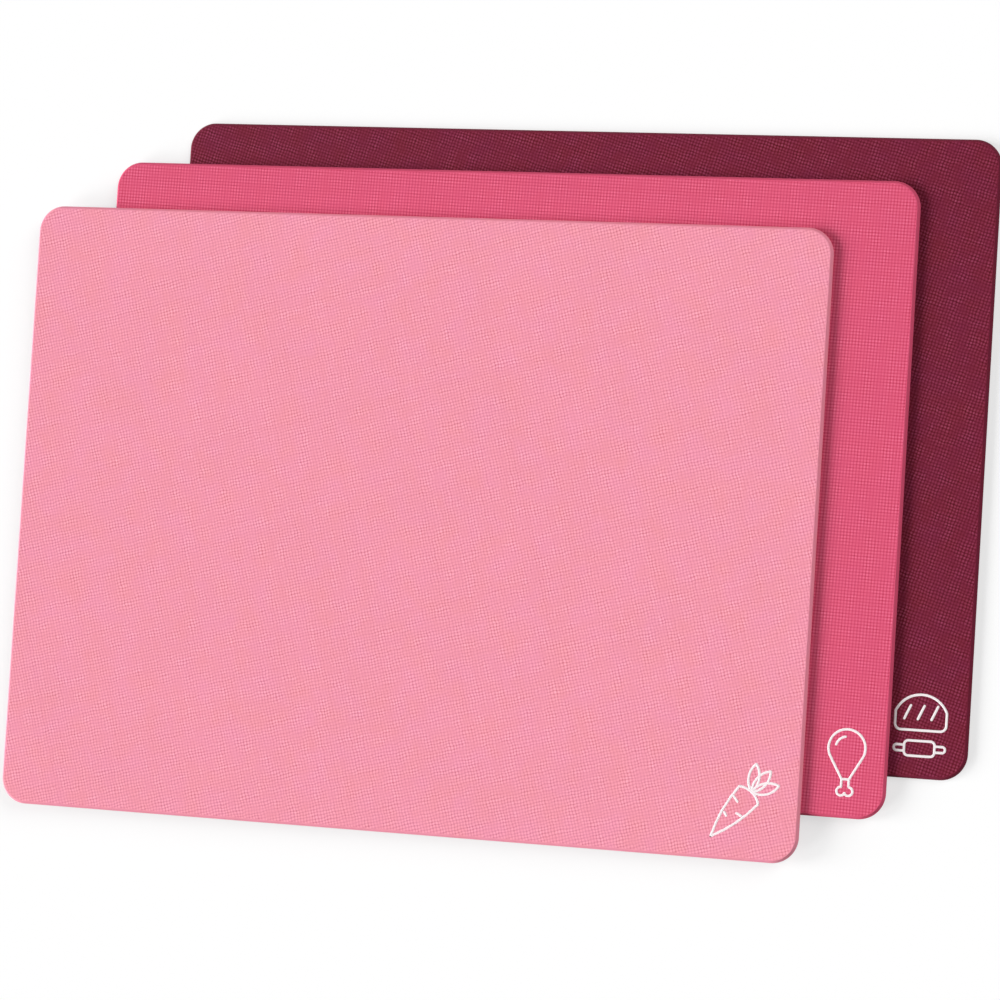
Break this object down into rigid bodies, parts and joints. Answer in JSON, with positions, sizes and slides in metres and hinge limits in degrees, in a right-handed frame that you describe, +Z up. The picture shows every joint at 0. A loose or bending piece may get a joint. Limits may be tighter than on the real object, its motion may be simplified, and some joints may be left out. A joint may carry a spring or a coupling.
{
  "type": "flexible cutting mat",
  "caption": "Fanned set of thin flexible cutting mats with rounded corners and a small printed food mark; the top mat curls up at both ends to pour from.",
  "frame": {"origin": "on the surface that the set lies on, under the middle of the fanned set's outline", "axes": "+X along the mats' long edges towards the printed corner, +Y along the short edges away from the printed corner, +Z up from the resting face"},
  "size_m": [0.4512, 0.3212, 0.0076],
  "materials": {
    "bottom_sheet": "matt maroon moulded sheet with a fine embossed square grid",
    "middle_sheet": "matt rose moulded sheet with a fine embossed square grid",
    "top_sheet": "matt pale pink moulded sheet with a fine embossed square grid",
    "ink": "white screen-printed ink"
  },
  "bodies": {
    "bottom_mat": {"bottom_mat": "bottom_sheet"},
    "bottom_bare_edge": {"bottom_mat_bare_edge": "bottom_sheet", "bottom_mat_print": "ink"},
    "middle_mat": {"middle_mat": "middle_sheet"},
    "middle_bare_edge": {"middle_mat_bare_edge": "middle_sheet", "middle_mat_print": "ink"},
    "top_centre": {"top_mat_centre": "top_sheet"},
    "top_left_strip_1": {"top_mat_left_strip_1": "top_sheet"},
    "top_left_strip_2": {"top_mat_left_strip_2": "top_sheet"},
    "top_left_strip_3": {"top_mat_left_strip_3": "top_sheet"},
    "top_left_strip_4": {"top_mat_left_strip_4": "top_sheet"},
    "top_left_strip_5": {"top_mat_left_strip_5": "top_sheet"},
    "top_left_strip_6": {"top_mat_left_strip_6": "top_sheet"},
    "top_left_strip_7": {"top_mat_left_strip_7": "top_sheet"},
    "top_left_strip_8": {"top_mat_left_strip_8": "top_sheet"},
    "top_left_edge": {"top_mat_left_edge": "top_sheet"},
    "top_right_strip_1": {"top_mat_right_strip_1": "top_sheet"},
    "top_right_strip_2": {"top_mat_right_strip_2": "top_sheet"},
    "top_right_strip_3": {"top_mat_right_strip_3": "top_sheet"},
    "top_right_strip_4": {"top_mat_right_strip_4": "top_sheet"},
    "top_right_strip_5": {"top_mat_right_strip_5": "top_sheet"},
    "top_right_strip_6": {"top_mat_right_strip_6": "top_sheet"},
    "top_right_strip_7": {"top_mat_right_strip_7": "top_sheet"},
    "top_right_strip_8": {"top_mat_right_strip_8": "top_sheet"},
    "top_right_edge": {"top_mat_right_edge": "top_sheet", "top_mat_print": "ink"}
  },
  "joints": [
    {"name": "middle_lift", "type": "slide", "parent": "bottom_mat", "child": "middle_mat", "axis": [0, 0, 1], "range_m": [0, 0.15]},
    {"name": "top_lift", "type": "slide", "parent": "middle_mat", "child": "top_centre", "axis": [0, 0, 1], "range_m": [0, 0.15]},
    {"name": "bottom_edge_peel", "type": "hinge", "parent": "bottom_mat", "child": "bottom_bare_edge", "pos_m": [0.19185, 0.02065, 0.0025], "axis": [0, -1, 0], "range_deg": [0, 60], "stiffness_Nm_per_rad": 0.5},
    {"name": "middle_edge_peel", "type": "hinge", "parent": "middle_mat", "child": "middle_bare_edge", "pos_m": [0.15495, 0.00125, 0.005], "axis": [0, -1, 0], "range_deg": [0, 60], "stiffness_Nm_per_rad": 0.5},
    {"name": "left_curl_1", "type": "hinge", "parent": "top_centre", "child": "top_left_strip_1", "pos_m": [-0.06565, -0.02065, 0.0075], "axis": [0, 1, 0], "range_deg": [0, 10], "stiffness_Nm_per_rad": 0.4},
    {"name": "left_curl_2", "type": "hinge", "parent": "top_left_strip_1", "child": "top_left_strip_2", "pos_m": [-0.0794, -0.02065, 0.0075], "axis": [0, 1, 0], "range_deg": [0, 10], "stiffness_Nm_per_rad": 0.4},
    {"name": "left_curl_3", "type": "hinge", "parent": "top_left_strip_2", "child": "top_left_strip_3", "pos_m": [-0.09315, -0.02065, 0.0075], "axis": [0, 1, 0], "range_deg": [0, 10], "stiffness_Nm_per_rad": 0.4},
    {"name": "left_curl_4", "type": "hinge", "parent": "top_left_strip_3", "child": "top_left_strip_4", "pos_m": [-0.1069, -0.02065, 0.0075], "axis": [0, 1, 0], "range_deg": [0, 10], "stiffness_Nm_per_rad": 0.4},
    {"name": "left_curl_5", "type": "hinge", "parent": "top_left_strip_4", "child": "top_left_strip_5", "pos_m": [-0.12065, -0.02065, 0.0075], "axis": [0, 1, 0], "range_deg": [0, 10], "stiffness_Nm_per_rad": 0.4},
    {"name": "left_curl_6", "type": "hinge", "parent": "top_left_strip_5", "child": "top_left_strip_6", "pos_m": [-0.1344, -0.02065, 0.0075], "axis": [0, 1, 0], "range_deg": [0, 10], "stiffness_Nm_per_rad": 0.4},
    {"name": "left_curl_7", "type": "hinge", "parent": "top_left_strip_6", "child": "top_left_strip_7", "pos_m": [-0.14815, -0.02065, 0.0075], "axis": [0, 1, 0], "range_deg": [0, 10], "stiffness_Nm_per_rad": 0.4},
    {"name": "left_curl_8", "type": "hinge", "parent": "top_left_strip_7", "child": "top_left_strip_8", "pos_m": [-0.1619, -0.02065, 0.0075], "axis": [0, 1, 0], "range_deg": [0, 10], "stiffness_Nm_per_rad": 0.4},
    {"name": "left_curl_9", "type": "hinge", "parent": "top_left_strip_8", "child": "top_left_edge", "pos_m": [-0.17565, -0.02065, 0.0075], "axis": [0, 1, 0], "range_deg": [0, 10], "stiffness_Nm_per_rad": 0.4},
    {"name": "right_curl_1", "type": "hinge", "parent": "top_centre", "child": "top_right_strip_1", "pos_m": [-0.00565, -0.02065, 0.0075], "axis": [0, -1, 0], "range_deg": [0, 10], "stiffness_Nm_per_rad": 0.4},
    {"name": "right_curl_2", "type": "hinge", "parent": "top_right_strip_1", "child": "top_right_strip_2", "pos_m": [0.0081, -0.02065, 0.0075], "axis": [0, -1, 0], "range_deg": [0, 10], "stiffness_Nm_per_rad": 0.4},
    {"name": "right_curl_3", "type": "hinge", "parent": "top_right_strip_2", "child": "top_right_strip_3", "pos_m": [0.02185, -0.02065, 0.0075], "axis": [0, -1, 0], "range_deg": [0, 10], "stiffness_Nm_per_rad": 0.4},
    {"name": "right_curl_4", "type": "hinge", "parent": "top_right_strip_3", "child": "top_right_strip_4", "pos_m": [0.0356, -0.02065, 0.0075], "axis": [0, -1, 0], "range_deg": [0, 10], "stiffness_Nm_per_rad": 0.4},
    {"name": "right_curl_5", "type": "hinge", "parent": "top_right_strip_4", "child": "top_right_strip_5", "pos_m": [0.04935, -0.02065, 0.0075], "axis": [0, -1, 0], "range_deg": [0, 10], "stiffness_Nm_per_rad": 0.4},
    {"name": "right_curl_6", "type": "hinge", "parent": "top_right_strip_5", "child": "top_right_strip_6", "pos_m": [0.0631, -0.02065, 0.0075], "axis": [0, -1, 0], "range_deg": [0, 10], "stiffness_Nm_per_rad": 0.4},
    {"name": "right_curl_7", "type": "hinge", "parent": "top_right_strip_6", "child": "top_right_strip_7", "pos_m": [0.07685, -0.02065, 0.0075], "axis": [0, -1, 0], "range_deg": [0, 10], "stiffness_Nm_per_rad": 0.4},
    {"name": "right_curl_8", "type": "hinge", "parent": "top_right_strip_7", "child": "top_right_strip_8", "pos_m": [0.0906, -0.02065, 0.0075], "axis": [0, -1, 0], "range_deg": [0, 10], "stiffness_Nm_per_rad": 0.4},
    {"name": "right_curl_9", "type": "hinge", "parent": "top_right_strip_8", "child": "top_right_edge", "pos_m": [0.10435, -0.02065, 0.0075], "axis": [0, -1, 0], "range_deg": [0, 10], "stiffness_Nm_per_rad": 0.4}
  ],
  "couplings": [
    {"joint": "left_curl_2", "follows": "left_curl_1", "ratio": 1},
    {"joint": "left_curl_3", "follows": "left_curl_1", "ratio": 1},
    {"joint": "left_curl_4", "follows": "left_curl_1", "ratio": 1},
    {"joint": "left_curl_5", "follows": "left_curl_1", "ratio": 1},
    {"joint": "left_curl_6", "follows": "left_curl_1", "ratio": 1},
    {"joint": "left_curl_7", "follows": "left_curl_1", "ratio": 1},
    {"joint": "left_curl_8", "follows": "left_curl_1", "ratio": 1},
    {"joint": "left_curl_9", "follows": "left_curl_1", "ratio": 1},
    {"joint": "right_curl_2", "follows": "right_curl_1", "ratio": 1},
    {"joint": "right_curl_3", "follows": "right_curl_1", "ratio": 1},
    {"joint": "right_curl_4", "follows": "right_curl_1", "ratio": 1},
    {"joint": "right_curl_5", "follows": "right_curl_1", "ratio": 1},
    {"joint": "right_curl_6", "follows": "right_curl_1", "ratio": 1},
    {"joint": "right_curl_7", "follows": "right_curl_1", "ratio": 1},
    {"joint": "right_curl_8", "follows": "right_curl_1", "ratio": 1},
    {"joint": "right_curl_9", "follows": "right_curl_1", "ratio": 1}
  ]
}
